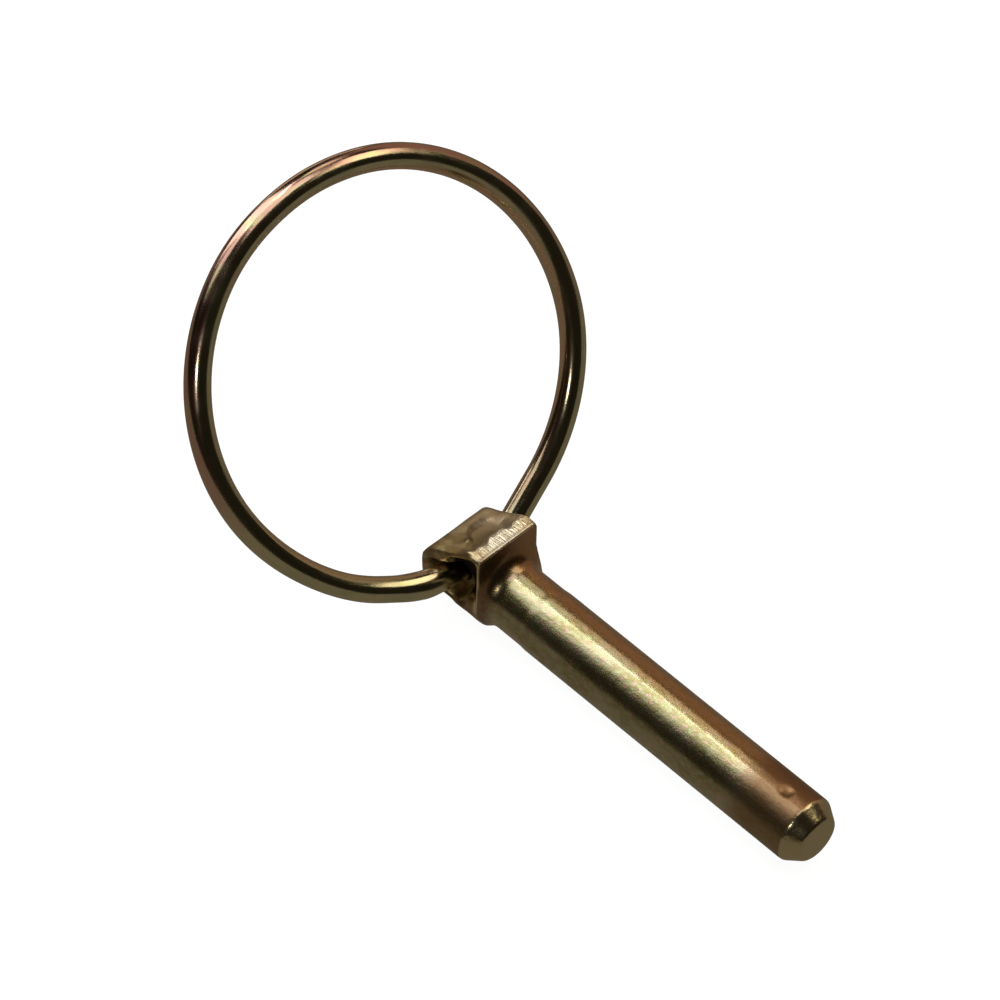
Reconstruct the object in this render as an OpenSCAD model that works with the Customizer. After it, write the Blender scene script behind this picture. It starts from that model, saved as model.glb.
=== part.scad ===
// Lynch pin: a one-piece forged pin whose head carries a sprung wire ring.
// The pin lies along X with its tip at +X and its shoulder at the origin.
// The ring turns about the Y axis of the cross hole in the head.

/* [Shank] */
// Diameter of the straight shank
shank_d = 9.5; // [8:0.1:11]
// Distance from the shoulder to the end of the tip
shank_length = 56.8; // [50:0.1:62]
// Radial relief of the forged neck beside the shoulder
neck_relief = 0.1; // [0.05:0.05:0.4]
// Length of the neck, measured from the shoulder
neck_length = 8; // [5:0.5:12]
// Length over which the neck widens to the shank
neck_taper = 1; // [0.5:0.1:1.5]
// Diameter of the flat end of the tip
tip_d = 6.4; // [4:0.1:7.4]
// Length of the chamfer at the tip
tip_chamfer = 2.4; // [1:0.1:4]
// Radius that softens both edges of the chamfer
tip_edge_r = 0.5; // [0.1:0.1:0.8]

/* [Landing mark] */
// Mouth diameter of the round dimple where the closed ring lands
dimple_d = 2.2; // [1.6:0.1:3]
// Depth of the dimple
dimple_depth = 0.3; // [0.1:0.05:0.5]

/* [Head] */
// Width of the head across its side faces
head_width = 10.4; // [9.4:0.1:12]
// Distance from the shoulder to the far corner of the head
head_length = 12; // [11:0.1:14]
// Height of the trimmed land above the pin axis
land_height = 8.9; // [8:0.1:11]
// Length of the trimmed land along the pin
land_length = 1.5; // [1:0.1:2.5]
// Fall of the top face behind the land, in degrees
top_slope = 32; // [26:1:36]
// Distance from the shoulder to the far edge of the top face
top_length = 9.3; // [8.6:0.1:10]
// Height of the far corner above the pin axis
nose_height = -0.9; // [-2:0.1:0.5]
// Distance from the far corner back to the underside
nose_undercut = 2.3; // [1.5:0.1:3]
// Radius of the far end in side view
nose_r = 2.4; // [1:0.1:2.6]
// Radius of the upright corners at the far end
nose_corner_r = 3.2; // [1:0.1:4]
// Radius between the flat underside and the side faces
underside_r = 3.6; // [2.5:0.1:4]
// Radius along the side edges of the top face
top_edge_r = 0.7; // [0.2:0.1:1.2]
// Radius at the two ends of the land
land_corner_r = 0.9; // [0.2:0.1:1.4]
// Radius of the fillet between the shoulder and the neck
shoulder_fillet = 2.9; // [1.5:0.1:3.5]

/* [Hammered hollow in the top face] */
// Mouth diameter of the hollow
hollow_d = 6.6; // [4:0.1:7]
// Depth of the hollow
hollow_depth = 0.4; // [0.2:0.05:0.7]
// Distance from the shoulder to the middle of the hollow
hollow_x = 4.7; // [4.2:0.1:5.2]
// Sideways place of the hollow, away from the middle of the head
hollow_y = 0.9; // [0:0.1:1.2]

/* [Hinge] */
// Distance from the shoulder to the cross hole
hinge_setback = 6.4; // [5.8:0.1:6.8]
// Mouth diameter of the tapered pocket around each end of the hole
pocket_d = 8.8; // [7.8:0.1:9]
// Floor diameter of the pocket
pocket_floor_d = 7.2; // [6.4:0.1:7.6]
// Depth of the pocket
pocket_depth = 2.2; // [1.4:0.1:2.6]
// Radius between the wall and the floor of the pocket
pocket_corner_r = 1.1; // [0.3:0.1:1.2]
// Free play between the ring's ends and the wall of the hole
hinge_play = 0.06; // [0.04:0.01:0.2]

/* [Ring] */
// Diameter of the ring's wire
wire_d = 3.4; // [3:0.1:3.8]
// Inside diameter of the ring
ring_inner_d = 53.3; // [50:0.1:56]
// Length of the straight leg between the bend and the loop
leg_length = 6.3; // [4:0.1:12]
// Centreline radius of the bend beside the head
bend_r = 10; // [7:0.5:12]
// Depth inside the pocket at which the bend starts
bend_depth = 1.2; // [0:0.1:1.6]
// Gap between the two wire ends inside the hole
end_gap = 1.2; // [0.6:0.1:2]
// Angle at which the ring stands, from the tip's direction over the top
ring_angle = 123; // [20:1:340]
// Lean of the ring in its loose hole, turned about its own middle line
ring_lean = 3.9; // [0:0.1:4.5]

/* [Hidden] */
$fn = 96;
corner_steps = 6;

shank_r = shank_d / 2;
neck_r = shank_r - neck_relief;
tip_r = tip_d / 2;
wire_r = wire_d / 2;
half_width = head_width / 2;
underside = -shank_r;
front_run = 0.5;
front = shoulder_fillet + front_run;

// The top face falls from the back of the land to the far edge.
top_edge_z = land_height - (top_length - land_length) * tan(top_slope);

// A leaning wire end needs a hole wider than the wire by its sideways reach at the mouth.
bore_half = half_width - pocket_depth;
bore_r = wire_r / cos(ring_lean) + bore_half * tan(ring_lean) + hinge_play;

// The ring is an arc whose two straight legs run tangent to it and bend into the hole.
loop_r = (ring_inner_d + wire_d) / 2;
bend_start = half_width - bend_depth;
centre_gap = norm([loop_r - bend_r, leg_length]);
centre_angle = asin(bend_start / centre_gap);
leg_angle = centre_angle + atan2(leg_length, loop_r - bend_r);

// Distance from the hinge axis to the middle of the loop.
ring_reach = bend_r + centre_gap * cos(centre_angle);

// The straights run into the arcs and are drawn finer by a hair, so the pieces of wire join cleanly.
wire_lap = 0.2;
wire_relief = 0.02;
straight_r = wire_r - wire_relief;

// The fillet ends this far inside the neck, so that the two cross instead of touching.
fillet_sink = 0.03;

// A ball of this radius cuts a dish of the given mouth diameter and depth.
function dish_r(mouth, depth) = (mouth * mouth / 4 + depth * depth) / (2 * depth);

function unit(v) = v / norm(v);

// Points of the arc of radius r that rounds corner b between a and c.
function corner(a, b, c, r) =
    let (
        u = unit(a - b),
        v = unit(c - b),
        half = acos(u * v) / 2,
        centre = b + unit(u + v) * r / sin(half),
        from = b + u * r / tan(half) - centre,
        to = b + v * r / tan(half) - centre,
        sweep = 180 - 2 * half
    )
    [
        for (i = [0 : corner_steps])
            centre + (from * sin(sweep * (1 - i / corner_steps)) + to * sin(sweep * i / corner_steps))
                / sin(sweep)
    ];

function flat(p) = [p[0], p[1]];

// Outline through points [x, y, corner radius].
function rounded(pts) =
    let (n = len(pts))
    [
        for (i = [0 : n - 1])
            each pts[i][2] == 0
                ? [flat(pts[i])]
                : corner(flat(pts[(i + n - 1) % n]), flat(pts[i]), flat(pts[(i + 1) % n]), pts[i][2])
    ];

// Turns a shape drawn along Z so that it lies along X.
module along_x() {
    rotate([0, 90, 0])
        children();
}

module shank() {
    along_x()
        rotate_extrude()
            polygon(rounded([
                [0, -hinge_setback / 4, 0],
                [neck_r, -hinge_setback / 4, 0],
                [neck_r, neck_length - neck_taper, 0],
                [shank_r, neck_length, 0],
                [shank_r, shank_length - tip_chamfer, tip_edge_r],
                [tip_r, shank_length, tip_edge_r],
                [0, shank_length, 0],
            ]));
}

// Side view of the head, drawn in X and Z and as wide as the head. Its slope runs on above the land.
module side_form() {
    rotate([90, 0, 0])
        linear_extrude(height = head_width, center = true)
            polygon(rounded([
                [front, underside, 0],
                [front, land_height + (front + land_length) * tan(top_slope), 0],
                [-top_length, top_edge_z, nose_r],
                [-head_length, nose_height, nose_r],
                [nose_undercut - head_length, underside, nose_r / 2],
            ]));
}

// Plan of the head: straight sides and rounded far corners.
module plan_form() {
    linear_extrude(height = 4 * land_height, center = true)
        polygon(rounded([
            [front, -half_width, 0],
            [front, half_width, 0],
            [-head_length, half_width, nose_corner_r],
            [-head_length, -half_width, nose_corner_r],
        ]));
}

// End view of the head: flat underside with generous corners, and the trimmed land on top.
module end_form() {
    translate([front, 0, 0])
        rotate([90, 0, -90])
            linear_extrude(height = head_length + front)
                polygon(rounded([
                    [-half_width, land_height, land_corner_r],
                    [-half_width, underside, underside_r],
                    [half_width, underside, underside_r],
                    [half_width, land_height, land_corner_r],
                ]));
}

// Prism along the sloping top face that rounds its two side edges.
module top_form() {
    translate([-land_length, 0, land_height])
        rotate([0, -top_slope, 0])
            translate([2 * head_length, 0, 0])
                rotate([90, 0, -90])
                    linear_extrude(height = 4 * head_length)
                        polygon(rounded([
                            [-half_width, -4 * head_length, 0],
                            [half_width, -4 * head_length, 0],
                            [half_width, 0, top_edge_r],
                            [-half_width, 0, top_edge_r],
                        ]));
}

// Shoulder and the fillet that carries it into the neck.
module shoulder_form() {
    reach = 2 * land_height;
    along_x()
        rotate_extrude()
            difference() {
                translate([0, -2 * head_length])
                    square([reach, 2 * head_length + shoulder_fillet]);
                translate([neck_r + shoulder_fillet - fillet_sink, shoulder_fillet])
                    circle(r = shoulder_fillet);
                translate([neck_r + shoulder_fillet - fillet_sink, 0])
                    square([reach, 2 * shoulder_fillet]);
            }
}

module head_blank() {
    intersection() {
        side_form();
        plan_form();
        end_form();
        top_form();
        shoulder_form();
    }
}

// Ball that cuts a dish into a surface which passes through the origin and faces +Z.
module dish(mouth, depth) {
    translate([0, 0, dish_r(mouth, depth) - depth])
        sphere(r = dish_r(mouth, depth));
}

// Tapered pocket below the origin, with a rounded floor. Its wall runs on above to clear the face.
module pocket() {
    taper = (pocket_d - pocket_floor_d) / (2 * pocket_depth);
    rotate_extrude()
        polygon(rounded([
            [0, -pocket_depth, 0],
            [pocket_floor_d / 2, -pocket_depth, pocket_corner_r],
            [pocket_d / 2 + taper, 1, 0],
            [0, 1, 0],
        ]));
}

module hinge_cuts() {
    translate([-hinge_setback, 0, 0]) {
        rotate([90, 0, 0])
            cylinder(r = bore_r, h = 2 * head_width, center = true);
        for (side = [-1, 1])
            translate([0, side * half_width, 0])
                rotate([-side * 90, 0, 0])
                    pocket();
    }
}

module top_hollow() {
    translate([-land_length, 0, land_height])
        rotate([0, -top_slope, 0])
            translate([-(hollow_x - land_length) / cos(top_slope), hollow_y, 0])
                dish(hollow_d, hollow_depth);
}

// The closed ring lies across the shank above this place.
module landing_dimple() {
    translate([ring_reach + loop_r - hinge_setback, 0, shank_r])
        dish(dimple_d, dimple_depth);
}

module pin() {
    color([0.55, 0.5, 0.36])
        difference() {
            union() {
                head_blank();
                shank();
            }
            hinge_cuts();
            top_hollow();
            landing_dimple();
        }
}

// Round wire bent through an angle about the origin, starting at -Y and turning towards +X.
module wire_arc(r, angle) {
    rotate([0, 0, -90])
        rotate_extrude(angle = angle)
            translate([r, 0])
                circle(r = wire_r);
}

// Straight wire that runs along Y from one place to another.
module wire_straight(from, to) {
    translate([0, from, 0])
        rotate([-90, 0, 0])
            cylinder(r = straight_r, h = to - from);
}

// One wire end: stub in the hole, bend, and straight leg, on the +Y side.
module wire_end() {
    wire_straight(end_gap / 2, bend_start + wire_lap);
    translate([bend_r, bend_start, 0])
        rotate([180, 0, 90])
            wire_arc(bend_r, leg_angle);
    translate([bend_r * (1 - cos(leg_angle)), bend_start + bend_r * sin(leg_angle), 0])
        rotate([0, 0, -leg_angle])
            wire_straight(-wire_lap, leg_length + wire_lap);
}

module ring() {
    color([0.72, 0.68, 0.48])
        translate([-hinge_setback, 0, 0])
            rotate([0, -ring_angle, 0])
                rotate([-ring_lean, 0, 0]) {
                    wire_end();
                    mirror([0, 1, 0])
                        wire_end();
                    translate([ring_reach, 0, 0])
                        rotate([0, 0, leg_angle - 90])
                            wire_arc(loop_r, 360 - 2 * leg_angle);
                }
}

pin();
ring();
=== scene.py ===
"""Looks of a lynch pin: forged head and shank, sprung wire ring, yellow-passivated zinc."""

import math

import bpy
from bpy.props import FloatProperty, FloatVectorProperty, IntProperty, PointerProperty
import numpy as np
from mathutils import Matrix, Vector


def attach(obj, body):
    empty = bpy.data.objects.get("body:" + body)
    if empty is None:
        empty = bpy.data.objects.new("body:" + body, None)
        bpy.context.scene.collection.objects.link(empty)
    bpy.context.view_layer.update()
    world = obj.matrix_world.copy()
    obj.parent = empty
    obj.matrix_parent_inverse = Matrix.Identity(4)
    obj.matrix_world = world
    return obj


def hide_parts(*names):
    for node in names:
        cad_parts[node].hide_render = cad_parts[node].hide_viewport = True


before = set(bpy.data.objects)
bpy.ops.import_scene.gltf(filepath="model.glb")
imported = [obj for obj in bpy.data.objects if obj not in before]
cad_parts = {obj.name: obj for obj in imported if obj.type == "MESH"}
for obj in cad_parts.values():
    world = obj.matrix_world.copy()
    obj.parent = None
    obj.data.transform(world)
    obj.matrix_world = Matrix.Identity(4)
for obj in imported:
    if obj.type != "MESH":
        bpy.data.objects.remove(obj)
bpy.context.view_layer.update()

bl_info = {
    "name": "Lynch Pin Finisher",
    "version": (1, 0, 0),
    "blender": (4, 5, 0),
    "location": "View3D > Sidebar > Lynch Pin",
    "description": "Finishes a forged lynch pin and its wire ring in yellow-passivated zinc",
    "category": "Object",
}

MM = 0.001
MM_PER_METRE = 1000.0
MERGE_DISTANCE = 0.0005 * MM

# The hinge, and the ring's own frame there: X to the middle of the loop, Z square to its plane.
HINGE = Vector((-6.4, 0.0, 0.0)) * MM
HINGE_X = HINGE.x / MM
RING_ANGLE = math.radians(123.0)
RING_LEAN = math.radians(3.9)
RING_FRAME = (
    Matrix.Translation(HINGE) @ Matrix.Rotation(-RING_ANGLE, 4, "Y")
    @ Matrix.Rotation(-RING_LEAN, 4, "X")
)
RING_REACH = 28.984 * MM
LOOP_RADIUS = 28.0 * MM

# Sizes of the solid pin in millimetres. TOP_FALL is the fall of the top face for each millimetre
# behind the land, and TOP_AT_ORIGIN is the height of that face's plane at X = 0.
SHANK_RADIUS = 4.75
HALF_WIDTH = 5.2
LAND_HEIGHT = 8.9
LAND_BACK = -1.5
TOP_FALL = math.tan(math.radians(32.0))
TOP_AT_ORIGIN = 9.84
TOP_ABOVE_HINGE = 5.84
NOSE_BEHIND_HINGE = 5.6
NOSE_X = -12.0
UNDERSIDE_RADIUS = 3.6
NOSE_CORNER_RADIUS = 3.2
POCKET_REACH = 4.4


# ---------------------------------------------------------------- shader tools

class Value:
    """A shader socket that Python expressions can be written on."""

    def __init__(self, shader, socket):
        self.shader = shader
        self.socket = socket

    def math(self, operation, first, second=0.0):
        """A maths node. An operation on one value leaves second out."""
        return self.shader.node("ShaderNodeMath", {"operation": operation}, {0: first, 1: second})

    def __add__(self, other):
        return self.math("ADD", self, other)

    def __sub__(self, other):
        return self.math("SUBTRACT", self, other)

    def __rsub__(self, other):
        return self.math("SUBTRACT", other, self)

    def __mul__(self, other):
        return self.math("MULTIPLY", self, other)

    __radd__ = __add__

    def rise(self, low, high, most=None):
        """0 up to low, and 1 or most from high on, with a smooth rise. Low may be the larger."""
        risen = self.shader.node(
            "ShaderNodeMapRange", {"interpolation_type": "SMOOTHSTEP"}, {0: self, 1: low, 2: high}
        )
        return risen if most is None else risen * most

    def root(self):
        """The square root."""
        return self.math("SQRT", self)

    def angle_from(self, other):
        """The angle of the point (other, self)."""
        return self.math("ARCTAN2", self, other)


class Shader:
    """A material whose nodes are built by calls that each return a Value."""

    def __init__(self, name):
        self.material = bpy.data.materials.new(name)
        self.material.use_nodes = True
        self.tree = self.material.node_tree
        self.tree.nodes.clear()

    def node(self, kind, settings, inputs, out=0):
        """Adds a node, makes its settings first, then fills its inputs by index or name."""
        made = self.tree.nodes.new(kind)
        for key, setting in settings.items():
            setattr(made, key, setting)
        for key, value in inputs.items():
            if isinstance(value, Value):
                self.tree.links.new(value.socket, made.inputs[key])
            elif made.inputs[key].type == "RGBA":
                made.inputs[key].default_value = (*value, 1.0)
            else:
                made.inputs[key].default_value = value
        return Value(self, made.outputs[out]) if made.outputs else None

    def place(self):
        """The place on the piece in metres."""
        return self.node("ShaderNodeTexCoord", {}, {}, "Object")

    def axes(self, place=None):
        """The place on the piece in millimetres, as three Values."""
        split = self.node("ShaderNodeSeparateXYZ", {}, {0: place or self.place()}).socket.node
        return [Value(self, split.outputs[i]) * MM_PER_METRE for i in range(3)]

    def seen_from(self, centre, turn):
        """The place on the piece, measured in a frame that is moved to centre and turned."""
        inputs = {0: self.place(), "Location": centre, "Rotation": turn}
        return self.node("ShaderNodeMapping", {"vector_type": "TEXTURE"}, inputs)

    def vector(self, x, y, z):
        """Three Values as one vector."""
        return self.node("ShaderNodeCombineXYZ", {}, {0: x, 1: y, 2: z})

    def stretched(self, scale):
        """The place on the piece in millimetres, scaled along each axis."""
        inputs = {0: self.place(), "Scale": [s * MM_PER_METRE for s in scale]}
        return self.node("ShaderNodeMapping", {}, inputs)

    def noise(self, size, seed, detail, stretch=(1.0, 1.0, 1.0), over=None):
        """Noise from 0 to 1 whose patches are about size millimetres across."""
        scale = [s / size for s in stretch]
        inputs = {"Vector": over or self.stretched(scale), "W": seed, "Detail": detail}
        inputs["Scale"] = 1.0 / size if over else 1.0
        return self.node("ShaderNodeTexNoise", {"noise_dimensions": "4D"}, inputs)

    def mix(self, mask, low, high):
        """Colour low where mask is 0 and high where it is 1."""
        settings = {"data_type": "RGBA", "clamp_factor": True}
        return self.node("ShaderNodeMix", settings, {0: mask, 6: low, 7: high}, 2)

    def bump(self, height, depth, over=None):
        """Normal of a surface with height from 0 to 1 over depth millimetres."""
        inputs = {"Height": height, "Distance": depth * MM, "Strength": 1.0}
        if over:
            inputs["Normal"] = over
        return self.node("ShaderNodeBump", {}, inputs)

    def metal(self, colour, roughness, normal, film=0.0):
        """Metal under a clear film that covers the share film of it."""
        inputs = {"Base Color": colour, "Metallic": 1.0, "Roughness": roughness, "Normal": normal}
        inputs.update({"Coat Weight": film, "Coat Roughness": 0.08, "Coat IOR": 1.8})
        surface = self.node("ShaderNodeBsdfPrincipled", {}, inputs)
        self.node("ShaderNodeOutputMaterial", {}, {0: surface})
        return self.material


# ---------------------------------------------------------------- finishes

# Where the pin's finish changes: the two ends of a smooth rise in millimetres, where it is 0 and
# where it is 1, along the axis that the name ends in. A third number is the most that it comes to
# instead of 1. ACROSS is the distance from the middle plane, and BELOW_TOP the height under the
# sloping face.
SHANK_X = (-1.0, 1.5)
HEAD_X = (-0.4, -1.0)
LAND_Z = (8.52, 8.70)
LAND_ENDS_ACROSS = (1.2, 3.8, 0.7)
LAND_NEAR_Y = (-2.8, -4.4, 0.75)
FRONT_X = (-0.6, 0.2)
FRONT_FILLET_X = (2.8, 0.9)
FRONT_FAR_Y = (0.5, 3.5, 0.45)
# Painted reflection: the head's faces are coloured lighter towards the far side.
PAINTED_SHEEN_Y = (-3.0, 3.5, 0.5)
FLANK_ACROSS = (4.3, 5.0)
FLANK_Z = (4.5, 2.5)
FLANK_X = (-9.5, -7.5)
# Painted shade: where the bottom of the pockets is coloured nearly black.
POCKET_SHADE_ACROSS = (4.9, 4.3)
POCKET_SHADE_BELOW_TOP = (0.35, 0.9)
POCKET_SHADE_Z = (-1.2, 1.0)
POCKET_SHADE_BACK_X = (-7.6, -6.4)
POCKET_SHADE_FRONT_X = (0.0, -0.5)
COPPER_Y = (-0.5, 1.6, 0.92)
TIP_X = (43.0, 48.0)
TIP_TOP_Z = (2.6, 4.2)
CHAMFER_X = (54.2, 54.5)

# The painted highlight along the upright front corner of the head's near side: where it stands, and
# how wide it is.
EDGE_HIGHLIGHT_BEHIND = 0.2
EDGE_HIGHLIGHT_ACROSS = 5.15
EDGE_HIGHLIGHT_REACH = (0.45, 0.25)
EDGE_HIGHLIGHT_Y = (0.0, -1.0)
EDGE_HIGHLIGHT_Z = (-2.5, 0.0)

# Patches and flecks on the pin: the two ends of the rise in the noise, and the most it comes to.
STRAW_PATCHES = (0.38, 0.62)
TAN_PATCHES = (0.44, 0.56)
FILM_PATCHES = (0.66, 0.46, 0.75)
ROSE_FLECKS = (0.54, 0.64, 0.75)
GREEN_FLECKS = (0.48, 0.38, 0.60)

# Share that each colour takes of the pin where it is strongest, and the sideways drift of the
# copper side for each millimetre along the shank.
FRONT_SHARE = 0.85
HEAD_SHARE = 0.85
FLANK_SHARE = 0.6
STREAK_SHARE = 0.5
TIP_SHARE = 0.62
TIP_TOP_SHARE = 0.6
BEVEL_SHARE = 0.9
EDGE_HIGHLIGHT_SHARE = 0.8
BARE_TIP_SHARE = 0.8
COPPER_DRIFT = 0.02

# Changes of the pin's roughness, heights of its relief and depths of the two bumps in millimetres.
SPECK_ROUGHNESS = 0.10
HEAD_ROUGHNESS = 0.06
LAND_GLOSS = 0.04
POCKET_ROUGHNESS = 0.2
TIP_ROUGHNESS = 0.10
CHAMFER_GLOSS = 0.16
GRAIN_HEIGHT = 0.6
SPECK_HEIGHT = 0.4
SHEARED_HEIGHT = 2.2
DRIFT_DEPTH = 0.10
GRAIN_DEPTH = 0.045

# The same for the ring. Outward is the distance from the middle of the wire, away from the loop's
# centre, and frays by FRAY with the streaks. Streaks are drawn out along the wire by DRAWN.
OLIVE_STRETCHES = (0.40, 0.60)
DULL_STRETCHES = (0.45, 0.65)
FAR_ARC = (-14.0, 6.0)
AMBER_OUTWARD = (-0.5, -1.5, 0.85)
PINK_OUTWARD = (0.35, 1.3)
PINK_SHARE = 0.9
ROSE_STREAKS = (0.56, 0.68, 0.4)
GREEN_STREAKS = (0.47, 0.36, 0.65)
FRAY = 1.2
DRAWN = 0.16
STREAK_ROUGHNESS = 0.10
DULL_ROUGHNESS = 0.08
STREAK_HEIGHT = 0.6
PIT_HEIGHT = 0.4
WIRE_DEPTH = 0.014


def pin_finish(finish):
    """Satin forged steel under yellow passivate: olive on one side, copper brown on the other, with
    painted shade in the pockets, a painted highlight on one corner and a painted reflection on the
    head.
    """
    s = Shader("pin_zinc")
    x, y, z = s.axes()
    across = (y * y).root()
    below_top = TOP_AT_ORIGIN - (z - x * TOP_FALL)
    head = 1.0 - x.rise(*SHANK_X)
    land = z.rise(*LAND_Z)
    chamfer = x.rise(*CHAMFER_X)
    tip = x.rise(*TIP_X)
    front = x.rise(*FRONT_X) * x.rise(*FRONT_FILLET_X)
    # Painted shade over the bottom of the pockets.
    pocket_shade = across.rise(*POCKET_SHADE_ACROSS) * below_top.rise(*POCKET_SHADE_BELOW_TOP) * z.rise(*POCKET_SHADE_Z)
    pocket_shade = pocket_shade * x.rise(*POCKET_SHADE_BACK_X) * x.rise(*POCKET_SHADE_FRONT_X)
    # Painted highlight on the near front corner of the head.
    behind, beyond = x + EDGE_HIGHLIGHT_BEHIND, across - EDGE_HIGHLIGHT_ACROSS
    edge = (behind * behind + beyond * beyond).root().rise(*EDGE_HIGHLIGHT_REACH) * y.rise(*EDGE_HIGHLIGHT_Y)

    drift = s.noise(2.6, seed=1.0, detail=2.0, stretch=(0.4, 1.0, 1.0))
    grain = s.noise(0.55, seed=2.0, detail=4.0, stretch=(0.55, 1.0, 1.0))
    specks = s.noise(0.24, seed=3.0, detail=2.0)
    blush = s.noise(0.50, seed=4.0, detail=2.0, stretch=(0.6, 1.0, 1.0))
    streaks = s.noise(0.26, seed=8.0, detail=2.0, stretch=(0.14, 1.0, 1.0))

    # The shank, then the front of the head.
    colour = s.mix(drift.rise(*STRAW_PATCHES), finish.olive, finish.straw)
    colour = s.mix(blush.rise(*ROSE_FLECKS), colour, finish.rose)
    colour = s.mix(grain.rise(*GREEN_FLECKS), colour, finish.green)
    colour = s.mix((y + x * COPPER_DRIFT).rise(*COPPER_Y), colour, finish.copper)
    colour = s.mix(front * (FRONT_SHARE - y.rise(*FRONT_FAR_Y)), colour, finish.brown)

    # The forged faces of the head, lightened towards the far side by a painted reflection, and the
    # trimmed land on top of it.
    flank = across.rise(*FLANK_ACROSS) * z.rise(*FLANK_Z) * x.rise(*FLANK_X) * FLANK_SHARE
    faces = s.mix(drift.rise(*TAN_PATCHES), finish.head, finish.tan)
    faces = s.mix(y.rise(*PAINTED_SHEEN_Y), faces, finish.painted_sheen)
    faces = s.mix(flank, faces, finish.brown)
    colour = s.mix(head * x.rise(*HEAD_X) * HEAD_SHARE, colour, faces)
    ends = across.rise(*LAND_ENDS_ACROSS) + streaks * STREAK_SHARE - STREAK_SHARE / 2
    cut = s.mix(ends, finish.sheared, finish.cut_rim_and_edge_highlight)
    cut = s.mix(y.rise(*LAND_NEAR_Y), cut, finish.tan)
    colour = s.mix(land, colour, cut)

    # The tip, the painted highlight on the near front corner and the painted shade at the bottom of
    # the pockets.
    tip_top = tip * z.rise(*TIP_TOP_Z) * (1.0 - chamfer)
    colour = s.mix(tip * TIP_SHARE, colour, finish.tip)
    colour = s.mix(tip_top * TIP_TOP_SHARE, colour, finish.brown)
    colour = s.mix(chamfer * BEVEL_SHARE, colour, finish.bevel)
    colour = s.mix(edge * z.rise(*EDGE_HIGHLIGHT_Z) * EDGE_HIGHLIGHT_SHARE, colour, finish.cut_rim_and_edge_highlight)
    colour = s.mix(pocket_shade, colour, finish.pocket_shade)

    rough = finish.pin_roughness + specks * SPECK_ROUGHNESS - SPECK_ROUGHNESS / 2
    rough = rough + head * HEAD_ROUGHNESS - land * LAND_GLOSS + pocket_shade * POCKET_ROUGHNESS
    rough = rough + tip * TIP_ROUGHNESS - chamfer * CHAMFER_GLOSS
    height = grain * GRAIN_HEIGHT + specks * SPECK_HEIGHT + land * streaks * SHEARED_HEIGHT
    normal = s.bump(height, GRAIN_DEPTH, s.bump(drift, DRIFT_DEPTH))
    film = grain.rise(*FILM_PATCHES) * (1.0 - head) * (1.0 - tip * BARE_TIP_SHARE)
    return s.metal(colour, rough, normal, film)


def ring_finish(finish):
    """Bright drawn wire under yellow passivate, streaked along the wire."""
    s = Shader("ring_zinc")
    middle = RING_FRAME @ Vector((RING_REACH, 0.0, 0.0))
    x, y, z = s.axes(s.seen_from(middle, RING_FRAME.to_euler()))
    reach = (x * x + y * y).root()
    run = y.angle_from(x) * (LOOP_RADIUS / MM)

    drift = s.noise(7.0, seed=5.0, detail=2.0)
    streaks = s.noise(0.45, seed=6.0, detail=3.0, over=s.vector(run * DRAWN, reach, z))
    pits = s.noise(0.28, seed=7.0, detail=2.0)
    outward = reach - LOOP_RADIUS / MM + (streaks - 0.5) * FRAY
    far_arc = x.rise(*FAR_ARC)

    colour = s.mix(drift.rise(*OLIVE_STRETCHES), finish.ring_straw, finish.ring_olive)
    colour = s.mix(outward.rise(*AMBER_OUTWARD), colour, finish.ring_amber)
    colour = s.mix(outward.rise(*PINK_OUTWARD) * far_arc * PINK_SHARE, colour, finish.ring_pink)
    colour = s.mix(streaks.rise(*ROSE_STREAKS), colour, finish.rose)
    colour = s.mix(streaks.rise(*GREEN_STREAKS), colour, finish.green)
    rough = finish.ring_roughness + streaks * STREAK_ROUGHNESS - STREAK_ROUGHNESS / 2
    rough = rough + drift.rise(*DULL_STRETCHES) * far_arc * DULL_ROUGHNESS
    normal = s.bump(streaks * STREAK_HEIGHT + pits * PIT_HEIGHT, WIRE_DEPTH)
    return s.metal(colour, rough, normal)


def floor_finish(stage):
    """Pale floor that the camera sees almost white, and that shows in the metal as a dim grey."""
    s = Shader("floor_pale")
    paint = s.node("ShaderNodeBsdfDiffuse", {}, {"Color": stage.floor_paint})
    white = {"Color": (1.0, 1.0, 1.0), "Strength": stage.floor_glow}
    glow = s.node("ShaderNodeEmission", {}, white)
    seen = s.node("ShaderNodeAddShader", {}, {0: paint, 1: glow})
    dim = s.node("ShaderNodeEmission", {}, {"Color": stage.floor_tint, "Strength": 1.0})
    camera_ray = s.node("ShaderNodeLightPath", {}, {}, "Is Camera Ray")
    surface = s.node("ShaderNodeMixShader", {}, {0: camera_ray, 1: dim, 2: seen})
    s.node("ShaderNodeOutputMaterial", {}, {0: surface})
    return s.material


# ---------------------------------------------------------------- settings

def colour_prop(name, description, default):
    """A colour setting."""
    return FloatVectorProperty(
        name=name, description=description, subtype="COLOR", size=3, min=0.0, max=1.0,
        default=default
    )


def length_prop(name, description, millimetres):
    """A length setting, whose default is given in millimetres."""
    return FloatProperty(
        name=name, description=description, unit="LENGTH", subtype="DISTANCE",
        default=millimetres * MM
    )


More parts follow.
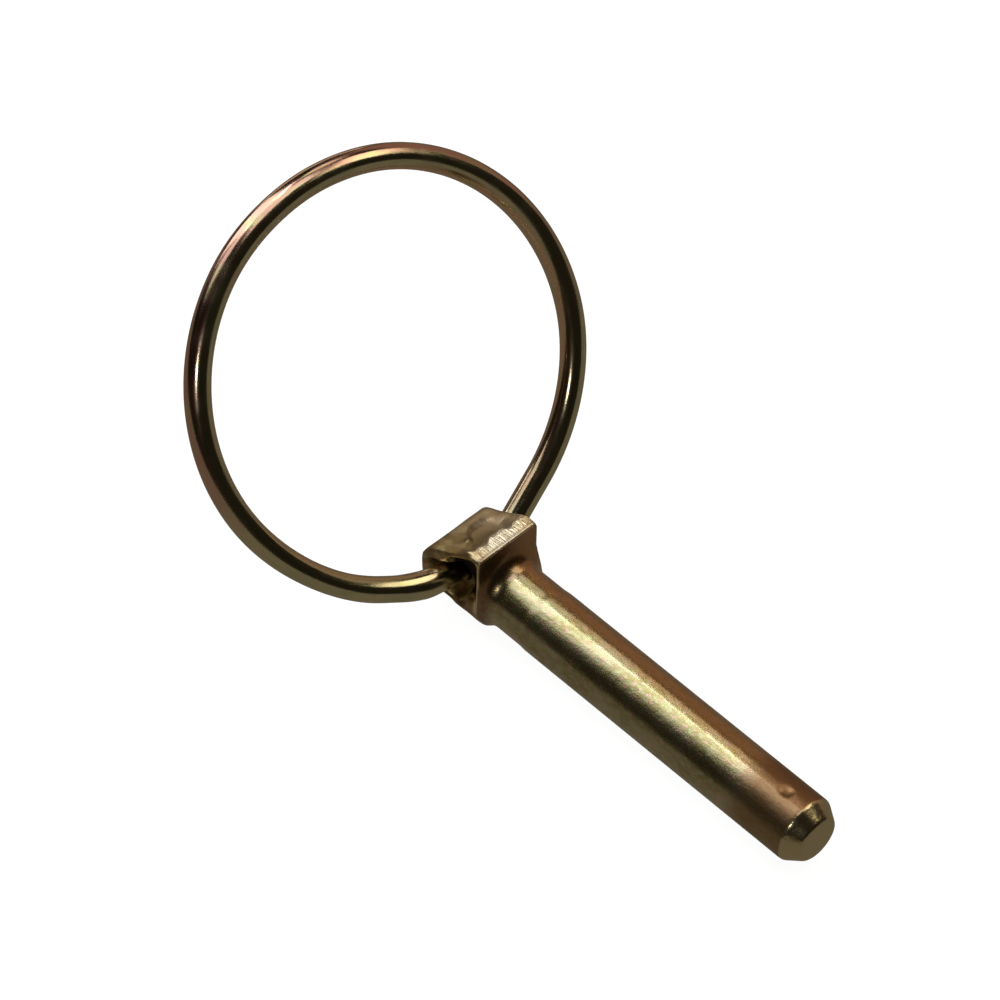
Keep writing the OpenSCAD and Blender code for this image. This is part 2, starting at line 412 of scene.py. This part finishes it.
class LynchPinFinish(bpy.types.PropertyGroup):
    """Colours and gloss of the passivated zinc, with painted shade, a painted highlight and a
    painted reflection among them.
    """

    olive: colour_prop("Olive", "Main colour of the shank", (0.42, 0.38, 0.17))
    straw: colour_prop("Straw", "Lighter patches on the shank", (0.56, 0.52, 0.32))
    copper: colour_prop("Copper", "Side of the shank with the thicker film", (0.60, 0.33, 0.13))
    rose: colour_prop("Rose", "Pink flecks in the film", (0.72, 0.45, 0.40))
    green: colour_prop("Green", "Green flecks in the film", (0.52, 0.60, 0.30))
    brown: colour_prop("Brown", "Front of the head and the fillet", (0.25, 0.125, 0.058))
    head: colour_prop("Head", "Forged faces of the head", (0.32, 0.21, 0.095))
    tip: colour_prop("Tip", "Browner end of the shank", (0.32, 0.18, 0.09))
    bevel: colour_prop("Bevel", "Chamfer and flat end of the tip", (0.74, 0.66, 0.40))
    # Painted reflection: lighter colour on the far side of the head.
    painted_sheen: colour_prop("Sheen", "Greyer film on the far side of the head", (0.66, 0.56, 0.44))
    tan: colour_prop("Tan", "Lighter patches on the head", (0.54, 0.43, 0.24))
    # Also the colour of the painted highlight on the near front corner of the head.
    cut_rim_and_edge_highlight: colour_prop("Cut rim", "Ends of the trimmed land", (1.0, 0.82, 0.54))
    sheared: colour_prop("Sheared", "Trimmed land on top of the head", (1.0, 0.94, 0.78))
    # Painted shade: near-black colour at the bottom of the pockets.
    pocket_shade: colour_prop("Pocket", "Dark bottom of the pockets", (0.03, 0.02, 0.012))
    ring_straw: colour_prop("Wire straw", "Main colour of the wire", (0.74, 0.70, 0.46))
    ring_olive: colour_prop("Wire olive", "Greener stretches of the wire", (0.62, 0.62, 0.40))
    ring_amber: colour_prop("Wire amber", "Inner side of the ring", (0.78, 0.54, 0.38))
    ring_pink: colour_prop("Wire pink", "Outer side of the ring's far arc", (0.70, 0.40, 0.34))
    pin_roughness: FloatProperty(
        name="Pin roughness", description="Roughness of the forged pin", default=0.28,
        min=0.05, max=1.0
    )
    ring_roughness: FloatProperty(
        name="Ring roughness", description="Roughness of the drawn wire", default=0.16,
        min=0.02, max=1.0
    )


class LynchPinForging(bpy.types.PropertyGroup):
    """How rough the forging of the head is."""

    grain: length_prop("Grain", "Size of the mesh's cells", 0.2)
    waviness: length_prop("Waviness", "Height of the dies' unevenness on the head", 0.12)
    step_height: length_prop("Step", "Step behind the land", 0.22)
    dent_depth: length_prop("Dent", "Depth of the hammered dent", 0.22)
    nick_height: length_prop("Nick", "Height of the raised nick", 0.6)
    far_growth: length_prop("Far side", "Growth of the far side of the head", 0.36)
    nose_fullness: length_prop("Nose fullness", "Growth of the nose before it is rounded", 0.10)
    nose_softening: IntProperty(
        name="Nose softening", description="Passes that round the nose of the head", default=10,
        min=0, max=200
    )
    softening: IntProperty(
        name="Softening", description="Passes that soften the edges", default=5, min=0, max=20
    )


class LynchPinWire(bpy.types.PropertyGroup):
    """The wire that the ring is bent from."""

    thickness: length_prop("Thickness", "Diameter of the wire", 3.54)
    bend_radius: length_prop("Bend radius", "Centreline radius of the bends", 13.0)
    stagger: length_prop("Stagger", "How far each end is sprung out of the ring's plane", 1.0)
    stagger_reach: length_prop(
        "Stagger reach", "Distance from the hinge at which the spring starts", 24.0
    )
    bulge: length_prop("Bulge", "How far the near leg bows out of the circle", 0.5)
    near_lift: length_prop("Near lift", "How far the near end is sprung towards the loop", 0.7)
    shank_relief: length_prop(
        "Shank relief", "How far the end of the loop is set off to close on the shank", 0.36
    )
    loop_pitch: FloatProperty(
        name="Loop pitch", description="Rise of the loop for each unit away from the hinge",
        default=0.019
    )
    loop_roll: FloatProperty(
        name="Loop roll", description="Rise of the loop for each unit sideways", default=0.028
    )


class LynchPinStage(bpy.types.PropertyGroup):
    """Camera, floor and lights."""

    camera_place: FloatVectorProperty(
        name="Camera place", description="Where the camera stands", subtype="TRANSLATION",
        unit="LENGTH", size=3, precision=5, default=(0.339315, -0.342159, 0.585375)
    )
    camera_turn: FloatVectorProperty(
        name="Camera turn", description="How the camera is turned", subtype="EULER",
        unit="ROTATION", size=3,
        default=tuple(math.radians(a) for a in (40.31538, -0.95184, 45.99891))
    )
    camera_lens: FloatProperty(
        name="Camera lens", description="Focal length in millimetres", default=208.8,
        min=50.0, max=400.0
    )
    floor_height: length_prop("Floor height", "Height of the surface under the pin", -4.75)
    floor_glow: FloatProperty(
        name="Floor glow", description="Light that the floor gives by itself", default=0.96,
        min=0.0, max=2.0
    )
    floor_paint: colour_prop("Floor paint", "Paint of the floor", (0.2, 0.2, 0.2))
    floor_tint: colour_prop("Floor tint", "Floor as the metal reflects it", (0.15, 0.125, 0.095))
    room_tint: colour_prop("Room tint", "Dim room around the stage", (0.012, 0.009, 0.006))
    key_power: FloatProperty(
        name="Key power", description="Power of the big soft light", unit="POWER", default=2.35,
        min=0.0
    )


# ---------------------------------------------------------------- modelling tools

def deselect_all():
    """Leaves edit mode and deselects every object."""
    if bpy.context.mode != "OBJECT":
        bpy.ops.object.mode_set(mode="OBJECT")
    bpy.ops.object.select_all(action="DESELECT")


def take_up(name, piece, material):
    """Names a finished piece, gives it its material and leaves it unselected."""
    piece.name = piece.data.name = name
    piece.data.materials.clear()
    piece.data.materials.append(material)
    deselect_all()


def merged_copy(node):
    """A new object with the mesh of a CAD node, its loose triangles merged."""
    deselect_all()
    piece = bpy.data.objects.new(node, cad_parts[node].data.copy())
    bpy.context.collection.objects.link(piece)
    piece.select_set(True)
    bpy.context.view_layer.objects.active = piece
    bpy.ops.object.mode_set(mode="EDIT")
    bpy.ops.mesh.select_all(action="SELECT")
    bpy.ops.mesh.remove_doubles(threshold=MERGE_DISTANCE)
    bpy.ops.object.mode_set(mode="OBJECT")
    return piece


def apply_modifier(kind, **settings):
    """Adds a modifier to the active object, sets it and applies it."""
    piece = bpy.context.object
    bpy.ops.object.modifier_add(type=kind)
    modifier = piece.modifiers[-1]
    for key, setting in settings.items():
        setattr(modifier, key, setting)
    bpy.ops.object.modifier_apply(modifier=modifier.name)


def soften(passes, group=""):
    """Smooths the active object, all of it or one vertex group."""
    apply_modifier("SMOOTH", factor=0.5, iterations=passes, vertex_group=group)


def smooth_rise(values, low, high):
    """0 up to low and 1 from high on, with a smooth rise between them. Low may be the larger."""
    share = np.clip((values - low) / (high - low), 0.0, 1.0)
    return share * share * (3.0 - 2.0 * share)


def read_places(piece):
    """The piece's vertices in millimetres, as three rows X, Y and Z."""
    places = np.empty(len(piece.data.vertices) * 3)
    piece.data.vertices.foreach_get("co", places)
    return places.reshape(-1, 3).T / MM


def write_places(piece, places):
    """Moves the piece's vertices to three rows X, Y and Z in millimetres."""
    piece.data.vertices.foreach_set("co", (np.array(places).T * MM).ravel())
    piece.data.update()


def paint_group(piece, name, weights):
    """A vertex group of the piece with a weight for each vertex, in tenths."""
    group = piece.vertex_groups.new(name=name)
    for step in range(1, 11):
        chosen = np.nonzero(np.round(weights * 10) == step)[0]
        group.add(chosen.tolist(), step / 10, "REPLACE")
    return name


# ---------------------------------------------------------------- pin

# Below, a pair is the two ends of a smooth rise in millimetres: where it is 0, and where it is 1.
# It runs along the axis that its name ends in. REACH is the distance from the hinge's axis, DEPTH
# the distance from the middle plane, and BELOW_TOP the height under the top of the head.

# Outline of the side pockets round the hinge: reach at each angle from +X over the top. The face
# beyond it is drawn along as far as the head's own outline, but no less or more than the limits.
RIM_ANGLES = (-180, -135, -90, -45, 0, 35, 60, 90, 135, 180)
RIM_REACHES = (4.4, 4.4, 4.4, 4.4, 4.4, 5.9, 5.2, 4.4, 4.4, 4.4)
OUTLINE_LIMITS = (4.6, 7.2)
WIDENED_REACH = (2.2, 3.2)
WIDENED_DEPTH = (2.7, 3.4)
LEAST_REACH = 0.01
LEAST_SINE = 0.1

# Floors of the pockets: how deep they are sunk, and how far from the hinge, which is less low down.
FLOOR_SINK = 1.2
FLOOR_REACH = 3.8
FLOOR_REACH_LOST = 1.1
FLOOR_LOST_Z = (0.5, -2.0)
FLOOR_PAST_REACH = (0.7, 0.0)
FLOOR_DEPTH = (0.6, 2.9)

# Lips of the pockets, and the direction from the hinge to the shoulder as a unit vector in X and Z.
LIP_INNER_REACH = (2.9, 3.4)
LIP_OUTER_REACH = (4.9, 4.5)
LIP_DEPTH = (1.2, 2.4)
SHOULDER_WAY = (0.88, 0.47)
OFF_SHOULDER = (0.75, 0.45)

# Hollow of the side faces between the pocket and the front corner.
HOLLOW_SINK = 1.9
HOLLOW_BACK_X = (-5.5, -4.2)
HOLLOW_FRONT_X = (-0.10, -0.75)
HOLLOW_Z = (0.2, 2.6)
HOLLOW_BELOW_TOP = (0.45, 1.5)
HOLLOW_DEPTH = (3.1, 5.0)

# The back edge of the land: its place, two waves (height, turn for each millimetre, start), its
# slant and the bend of its near end.
LAND_EDGE_X = -1.95
LONG_WAVE = (0.45, 1.2, 0.3)
SHORT_WAVE = (0.20, 3.1, 0.8)
LAND_EDGE_SLANT = 0.06
LAND_EDGE_BEND = 0.35
BENT_Y = (-0.5, -2.5)

# The worked skin of the top: how far it goes down, forwards and in from the sides, and where the
# land is lifted and the step behind it sunk.
SKIN_Z = (-0.9, -0.25)
SKIN_FRONT_X = 0.4
SKIN_FROM_SIDE = (0.15, 0.9)
LIFTED_X = (-4.6, -2.6)
STEP_WIDTH = (0.0, 0.35)
STEP_X = (-5.4, -2.8)

# The crease across the top face runs at 45 degrees through a point. The dent lies on one side of
# it, and the raised nick on it.
CREASE_X, CREASE_Y = -5.2, -1.75
DIAGONAL = 0.707
DENT_PAST_CREASE = (-0.15, 0.3)
DENT_BACK_X = (-8.6, -6.4)
DENT_FRONT_X = (-2.2, -3.2)
DENT_Y = (4.3, 2.9)
NICK_LENGTH, NICK_WIDTH = 0.60, 0.26

# Parts of the head that are shaped and softened on their own.
HEAD_FRONT_X = 1.0
FAR_SIDE_Y = (3.5, 5.0)
FAR_SIDE_X = (3.0, 1.0)
NOSE_BACK_X = (-6.0, -8.5)
NOSE_Z = (-4.4, -2.5)
RIM_BACK_X = (-4.0, -5.6)
RIM_NEAR_Y = (-3.4, -4.4)
RIM_Z = (-4.6, -3.4)
RIM_SOFTENINGS = 3
FORGED_X = (1.5, -0.5)
WAVE_SIZE = 3.6 * MM
WAVE_MIDDLE = -0.2


def widen_pockets(x, y, z):
    """Draws the round pockets out towards the shoulder, and the face beyond them along."""
    across, up = x - HINGE_X, z
    reach = np.hypot(across, up)
    angle = np.degrees(np.arctan2(up, across))
    rim = np.interp(angle, RIM_ANGLES, RIM_REACHES)
    sine, cosine = np.sin(np.radians(angle)), np.cos(np.radians(angle))
    to_top = TOP_ABOVE_HINGE / np.maximum(sine - TOP_FALL * cosine, LEAST_SINE)
    to_underside = SHANK_RADIUS / np.maximum(-sine, LEAST_SINE)
    to_nose = NOSE_BEHIND_HINGE / np.maximum(-cosine, LEAST_SINE)
    far = np.clip(np.minimum(np.minimum(to_top, to_underside), to_nose), *OUTLINE_LIMITS)
    inner = reach * rim / POCKET_REACH
    outer = rim + (reach - POCKET_REACH) * (far - rim) / (far - POCKET_REACH)
    warped = np.where(reach < POCKET_REACH, inner, np.where(reach < far, outer, reach))
    share = smooth_rise(reach, *WIDENED_REACH) * smooth_rise(np.abs(y), *WIDENED_DEPTH)
    scale = 1.0 + share * (warped / np.maximum(reach, LEAST_REACH) - 1.0)
    return HINGE_X + across * scale, up * scale


def deepen_floors(x, y, z):
    """How far the floors of the pockets are sunk towards the middle."""
    reach = np.hypot(x - HINGE_X, z)
    depth = np.abs(y)
    rim = FLOOR_REACH - FLOOR_REACH_LOST * smooth_rise(z, *FLOOR_LOST_Z)
    inside = smooth_rise(reach - rim, *FLOOR_PAST_REACH) * (depth < POCKET_REACH)
    return FLOOR_SINK * smooth_rise(depth, *FLOOR_DEPTH) * inside


def half_width(beyond, radius):
    """Half the head's width on a rounded corner, at a distance past the corner's centre."""
    bow = np.sqrt(np.maximum(radius ** 2 - np.minimum(beyond, 0.0) ** 2, 0.0))
    return HALF_WIDTH - radius + bow


def fill_lips(x, y, z):
    """How far the pockets' lips are drawn out to the rounded sides, but for the shoulder's."""
    across, depth = x - HINGE_X, np.abs(y)
    reach = np.hypot(across, z)
    below = half_width(z + SHANK_RADIUS - UNDERSIDE_RADIUS, UNDERSIDE_RADIUS)
    behind = half_width(x - NOSE_X - NOSE_CORNER_RADIUS, NOSE_CORNER_RADIUS)
    ahead = (SHOULDER_WAY[0] * across + SHOULDER_WAY[1] * z) / np.maximum(reach, LEAST_REACH)
    share = smooth_rise(reach, *LIP_INNER_REACH) * smooth_rise(reach, *LIP_OUTER_REACH)
    share *= smooth_rise(depth, *LIP_DEPTH) * smooth_rise(ahead, *OFF_SHOULDER)
    return np.maximum(np.minimum(below, behind) - depth, 0.0) * share


def top_plane(x):
    """Height of the sloping face's plane, which goes on rising past the land."""
    return LAND_HEIGHT + (x - LAND_BACK) * TOP_FALL


def sink_sides(x, y, z):
    """How far the side faces are hollowed between the pocket and the front corner."""
    below_top = np.minimum(LAND_HEIGHT, top_plane(x)) - z
    along = smooth_rise(x, *HOLLOW_BACK_X) * smooth_rise(x, *HOLLOW_FRONT_X)
    height = smooth_rise(z, *HOLLOW_Z) * smooth_rise(below_top, *HOLLOW_BELOW_TOP)
    return HOLLOW_SINK * along * height * smooth_rise(np.abs(y), *HOLLOW_DEPTH)


def land_edge(y):
    """X of the ragged back edge of the land."""
    (long_height, long_turn, long_start), (height, turn, start) = LONG_WAVE, SHORT_WAVE
    waves = height * np.sin(turn * y + start) - long_height * np.cos(long_turn * (y - long_start))
    return LAND_EDGE_X + waves - LAND_EDGE_SLANT * y - LAND_EDGE_BEND * smooth_rise(y, *BENT_Y)


def work_top_face(x, y, z, forging):
    """Height added on top of the head: ragged edge of the land, step, dent, crease and nick."""
    plane = top_plane(x)
    top = np.minimum(LAND_HEIGHT, plane)
    skin = smooth_rise(z - top, *SKIN_Z) * (x < SKIN_FRONT_X)
    skin = skin * smooth_rise(HALF_WIDTH - np.abs(y), *SKIN_FROM_SIDE)

    edge = land_edge(y)
    lifted = np.minimum(LAND_HEIGHT, plane + (LAND_BACK - edge) * TOP_FALL) - top
    step = smooth_rise(edge - x, *STEP_WIDTH) * smooth_rise(x, *STEP_X)
    change = lifted * smooth_rise(x, *LIFTED_X) - forging.step_height / MM * step

    across_crease = (x - CREASE_X + y - CREASE_Y) * DIAGONAL
    along_crease = (x - CREASE_X - y + CREASE_Y) * DIAGONAL
    dent = smooth_rise(across_crease, *DENT_PAST_CREASE) * smooth_rise(y, *DENT_Y)
    dent *= smooth_rise(x, *DENT_BACK_X) * smooth_rise(x, *DENT_FRONT_X)
    nick = np.exp(-((along_crease / NICK_LENGTH) ** 2) - (across_crease / NICK_WIDTH) ** 2)
    change += forging.nick_height / MM * nick - forging.dent_depth / MM * dent
    return change * skin


class LYNCHPIN_OT_forge_pin(bpy.types.Operator):
    """Forge the pin: soften its edges, add the dies' unevenness and work the top of the head"""

    bl_idname = "lynch_pin.forge_pin"
    bl_label = "Forge Pin"

    def execute(self, context):
        forging = context.scene.lynch_pin_forging
        piece = merged_copy("pin")
        apply_modifier("REMESH", mode="VOXEL", voxel_size=forging.grain, use_smooth_shade=True)
        soften(2)

        x, y, z = read_places(piece)
        head = x < HEAD_FRONT_X
        x, z = np.where(head, widen_pockets(x, y, z), (x, z))
        y = y - np.sign(y) * (sink_sides(x, y, z) + deepen_floors(x, y, z)) * head
        y = y + np.sign(y) * fill_lips(x, y, z) * head
        z = z + work_top_face(x, y, z, forging)
        far_side = smooth_rise(y, *FAR_SIDE_Y) * smooth_rise(x, *FAR_SIDE_X)
        y = y + forging.far_growth / MM * far_side
        write_places(piece, (x, y, z))

        nose = smooth_rise(x, *NOSE_BACK_X) * smooth_rise(z, *NOSE_Z)
        nose = paint_group(piece, "nose", nose)
        apply_modifier("DISPLACE", strength=forging.nose_fullness, mid_level=0.0, vertex_group=nose)
        soften(forging.nose_softening, nose)
        rim = smooth_rise(x, *RIM_BACK_X) * smooth_rise(y, *RIM_NEAR_Y) * smooth_rise(z, *RIM_Z)
        soften(RIM_SOFTENINGS * forging.nose_softening, paint_group(piece, "rim", rim))
        soften(forging.softening)

        waves = bpy.data.textures.new("forge_waves", "CLOUDS")
        waves.noise_scale = WAVE_SIZE
        waves.noise_depth = 1
        forged = smooth_rise(read_places(piece)[0], *FORGED_X)
        apply_modifier(
            "DISPLACE", texture=waves, texture_coords="LOCAL", strength=forging.waviness,
            mid_level=WAVE_MIDDLE, vertex_group=paint_group(piece, "forged", forged)
        )
        soften(1)
        bpy.ops.object.shade_smooth()
        piece.vertex_groups.clear()
        take_up("forged_pin", piece, pin_finish(context.scene.lynch_pin_finish))
        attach(piece, "pin")
        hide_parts("pin")
        return {"FINISHED"}


# ---------------------------------------------------------------- ring

# The stubs in the hole run from STUB_START to STUB_END beside the middle plane. The rest is the
# number of sides of the wire and of steps in each length of it.
STUB_START = 0.6 * MM
STUB_END = 2.2 * MM
WIRE_SIDES = 48
STUB_STEPS = 6
BEND_STEPS = 24
LEG_STEPS = 8
LOOP_STEPS = 200
SMOOTH_ANGLE = math.radians(40)

# Where the wire is sprung, in the ring's own frame: pairs as for the pin.
STUB_LENGTH = 4.0
OUT_OF_HOLE_DEPTH = (1.2, 3.6)
BENT_X = (2.0, 4.0)
FAR_END_DEPTH = (16.0, 4.0)
FAR_END_X = (40.0, 45.0)
BULGE_INNER_Y = (-4.0, -9.0)
BULGE_OUTER_Y = (-26.0, -16.0)
BULGE_X = (24.0, 14.0)
LIFT_INNER_Y = (-1.2, -3.6)
LIFT_OUTER_Y = (-12.0, -6.0)
LIFT_X = (8.0, 4.0)


def extrude_wire(heading, length, steps):
    """Draws the selected end of the wire out straight."""
    step = [heading[0] * length / steps, heading[1] * length / steps, 0.0]
    for _ in range(steps):
        bpy.ops.mesh.extrude_region_move(TRANSFORM_OT_translate={"value": step})


def bend_wire(centre, angle, steps):
    """Bends the selected end of the wire about a centre, clockwise seen from +Z."""
    bpy.ops.mesh.spin(steps=steps, angle=angle, center=(*centre, 0.0), axis=(0.0, 0.0, 1.0))


def spring_ends(piece, wire):
    """Springs the two ends apart across the ring's plane, and sets the loop a little askew."""
    x, y, z = read_places(piece)
    out_of_hole = np.maximum(smooth_rise(np.abs(y), *OUT_OF_HOLE_DEPTH), smooth_rise(x, *BENT_X))
    ramp = smooth_rise(x, wire.stagger_reach / MM, 0.0)
    far_end = smooth_rise(np.abs(y), *FAR_END_DEPTH) * smooth_rise(x, *FAR_END_X)
    shift = wire.stagger / MM * np.clip(y / STUB_LENGTH, -1.0, 1.0) * ramp
    shift += wire.loop_pitch * (x - RING_REACH / MM) - wire.loop_roll * y
    shift -= wire.shank_relief / MM * far_end
    bulge = smooth_rise(y, *BULGE_INNER_Y) * smooth_rise(y, *BULGE_OUTER_Y)
    bulge = bulge * smooth_rise(x, *BULGE_X)
    lift = smooth_rise(y, *LIFT_INNER_Y) * smooth_rise(y, *LIFT_OUTER_Y) * smooth_rise(x, *LIFT_X)
    along = wire.near_lift / MM * lift - wire.bulge / MM * bulge
    write_places(piece, (x + along, y, z + shift * out_of_hole))


class LYNCHPIN_OT_bend_ring(bpy.types.Operator):
    """Bend the ring from one length of wire: stub, bend, leg, loop, leg, bend, stub"""

    bl_idname = "lynch_pin.bend_ring"
    bl_label = "Bend Ring"

    def execute(self, context):
        wire = context.scene.lynch_pin_wire
        deselect_all()
        bend = wire.bend_radius
        gap = math.hypot(RING_REACH - bend, STUB_END)
        leg = math.sqrt(gap * gap - (LOOP_RADIUS - bend) ** 2)
        turn = math.asin(STUB_END / gap) + math.atan2(leg, LOOP_RADIUS - bend)

        bpy.ops.mesh.primitive_circle_add(
            vertices=WIRE_SIDES, radius=wire.thickness / 2, location=(0.0, STUB_START, 0.0),
            rotation=(math.pi / 2, 0.0, 0.0)
        )
        piece = context.object
        bpy.ops.object.transform_apply(location=True, rotation=True)
        bpy.ops.object.mode_set(mode="EDIT")
        bpy.ops.mesh.select_all(action="SELECT")
        extrude_wire((0.0, 1.0), STUB_END - STUB_START, STUB_STEPS)
        bend_wire((bend, STUB_END), turn, BEND_STEPS)
        extrude_wire((math.sin(turn), math.cos(turn)), leg, LEG_STEPS)
        bend_wire((RING_REACH, 0.0), 2 * math.pi - 2 * turn, LOOP_STEPS)
        extrude_wire((-math.sin(turn), math.cos(turn)), leg, LEG_STEPS)
        bend_wire((bend, -STUB_END), turn, BEND_STEPS)
        extrude_wire((0.0, 1.0), STUB_END - STUB_START, STUB_STEPS)
        bpy.ops.mesh.edge_face_add()
        bpy.ops.mesh.select_all(action="DESELECT")
        bpy.ops.mesh.select_non_manifold()
        bpy.ops.mesh.edge_face_add()
        bpy.ops.mesh.select_all(action="SELECT")
        bpy.ops.mesh.remove_doubles(threshold=MERGE_DISTANCE)
        bpy.ops.mesh.normals_make_consistent(inside=False)
        bpy.ops.object.mode_set(mode="OBJECT")

        spring_ends(piece, wire)
        piece.data.transform(RING_FRAME)
        bpy.ops.object.shade_smooth_by_angle(angle=SMOOTH_ANGLE)
        take_up("wire_ring", piece, ring_finish(context.scene.lynch_pin_finish))
        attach(piece, "ring")
        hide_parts("ring")
        return {"FINISHED"}


# ---------------------------------------------------------------- stage

FLOOR_SIZE = 4.0
AIM = (0.005, 0.0, 0.01)
CREAM = (1.0, 0.97, 0.90)

# The big soft light: the direction it comes from, its distance, and its width and height.
KEY = ((-0.72, -0.02, 0.70), 0.9, (0.40, 1.0))

# The other lights: name, then the same as for the key, power and colour.
CARDS = (
    ("key_wing", (-0.53, -0.37, 0.77), 0.9, (0.24, 0.50), 0.40, CREAM),
    ("window_edge", (-0.425, 0.18, 0.887), 0.9, (0.06, 0.34), 0.26, CREAM),
    ("top_card", (-0.44, 0.46, 0.77), 0.9, (0.24, 0.24), 0.215, (1.0, 0.88, 0.70)),
    ("slope_card", (-0.88, 0.46, 0.06), 0.9, (0.50, 0.26), 0.30, (1.0, 0.86, 0.62)),
    ("overhead_card", (0.0, 0.1, 1.0), 0.9, (0.50, 0.50), 1.0, (1.0, 0.92, 0.82)),
    ("back_softbox", (0.22, 0.60, 0.77), 0.9, (0.62, 0.34), 1.2, (1.0, 0.84, 0.62)),
    ("warm_card", (-0.20, 0.95, 0.30), 1.0, (1.2, 0.7), 0.62, (1.0, 0.68, 0.48)),
    ("lamp_by_camera", (0.40, -0.69, 0.60), 0.9, (0.16, 0.07), 0.42, (1.0, 1.0, 0.94)),
)


def add_softbox(name, direction, distance, size, power, colour):
    """Adds a rectangular soft light that shines on the part from a direction."""
    place = Vector(AIM) + Vector(direction).normalized() * distance
    bpy.ops.object.light_add(type="AREA", location=place)
    light = bpy.context.object
    light.name = name
    light.rotation_euler = (Vector(AIM) - place).to_track_quat("-Z", "Y").to_euler()
    light.data.shape = "RECTANGLE"
    light.data.size, light.data.size_y = size
    light.data.energy = power
    light.data.color = colour


class LYNCHPIN_OT_build_stage(bpy.types.Operator):
    """Lay the floor and set the camera and the soft lights"""

    bl_idname = "lynch_pin.build_stage"
    bl_label = "Build Stage"

    def execute(self, context):
        stage = context.scene.lynch_pin_stage
        deselect_all()
        bpy.ops.mesh.primitive_plane_add(size=FLOOR_SIZE, location=(0.0, 0.0, stage.floor_height))
        floor = context.object
        floor.name = "floor"
        bpy.ops.object.transform_apply(location=True)
        floor.data.materials.append(floor_finish(stage))

        add_softbox("key_softbox", *KEY, stage.key_power, CREAM)
        for card in CARDS:
            add_softbox(*card)

        world = bpy.data.worlds.new("room")
        world.use_nodes = True
        background = world.node_tree.nodes["Background"]
        background.inputs["Color"].default_value = (*stage.room_tint, 1.0)
        background.inputs["Strength"].default_value = 1.0
        context.scene.world = world

        bpy.ops.object.camera_add(location=stage.camera_place, rotation=stage.camera_turn)
        camera = context.object
        camera.data.lens = stage.camera_lens
        camera.data.sensor_width = 36.0
        camera.data.clip_start = 0.01
        camera.data.clip_end = 20.0
        context.scene.camera = camera
        context.scene.view_settings.view_transform = "Standard"
        return {"FINISHED"}


# ---------------------------------------------------------------- add-on

class LYNCHPIN_PT_sidebar(bpy.types.Panel):
    """Settings and buttons that finish the lynch pin and build its stage"""

    bl_idname = "LYNCHPIN_PT_sidebar"
    bl_label = "Lynch Pin"
    bl_space_type = "VIEW_3D"
    bl_region_type = "UI"
    bl_category = "Lynch Pin"

    def draw(self, context):
        layout = self.layout
        for group in SETTINGS:
            settings = getattr(context.scene, group)
            for name in settings.__annotations__:
                layout.prop(settings, name)
        for operator in OPERATORS:
            layout.operator(operator.bl_idname)


OPERATORS = (LYNCHPIN_OT_forge_pin, LYNCHPIN_OT_bend_ring, LYNCHPIN_OT_build_stage)
SETTINGS = {
    "lynch_pin_finish": LynchPinFinish,
    "lynch_pin_forging": LynchPinForging,
    "lynch_pin_wire": LynchPinWire,
    "lynch_pin_stage": LynchPinStage,
}
CLASSES = (*SETTINGS.values(), *OPERATORS, LYNCHPIN_PT_sidebar)


def register():
    """Registers the add-on and gives the scene its settings."""
    for cls in CLASSES:
        bpy.utils.register_class(cls)
    for group, settings in SETTINGS.items():
        setattr(bpy.types.Scene, group, PointerProperty(type=settings))


def unregister():
    """Takes back what register did."""
    for group in SETTINGS:
        delattr(bpy.types.Scene, group)
    for cls in reversed(CLASSES):
        bpy.utils.unregister_class(cls)


def main():
    """Makes both pieces and the stage."""
    register()
    bpy.ops.lynch_pin.forge_pin()
    bpy.ops.lynch_pin.bend_ring()
    bpy.ops.lynch_pin.build_stage()


if __name__ == "__main__":
    main()
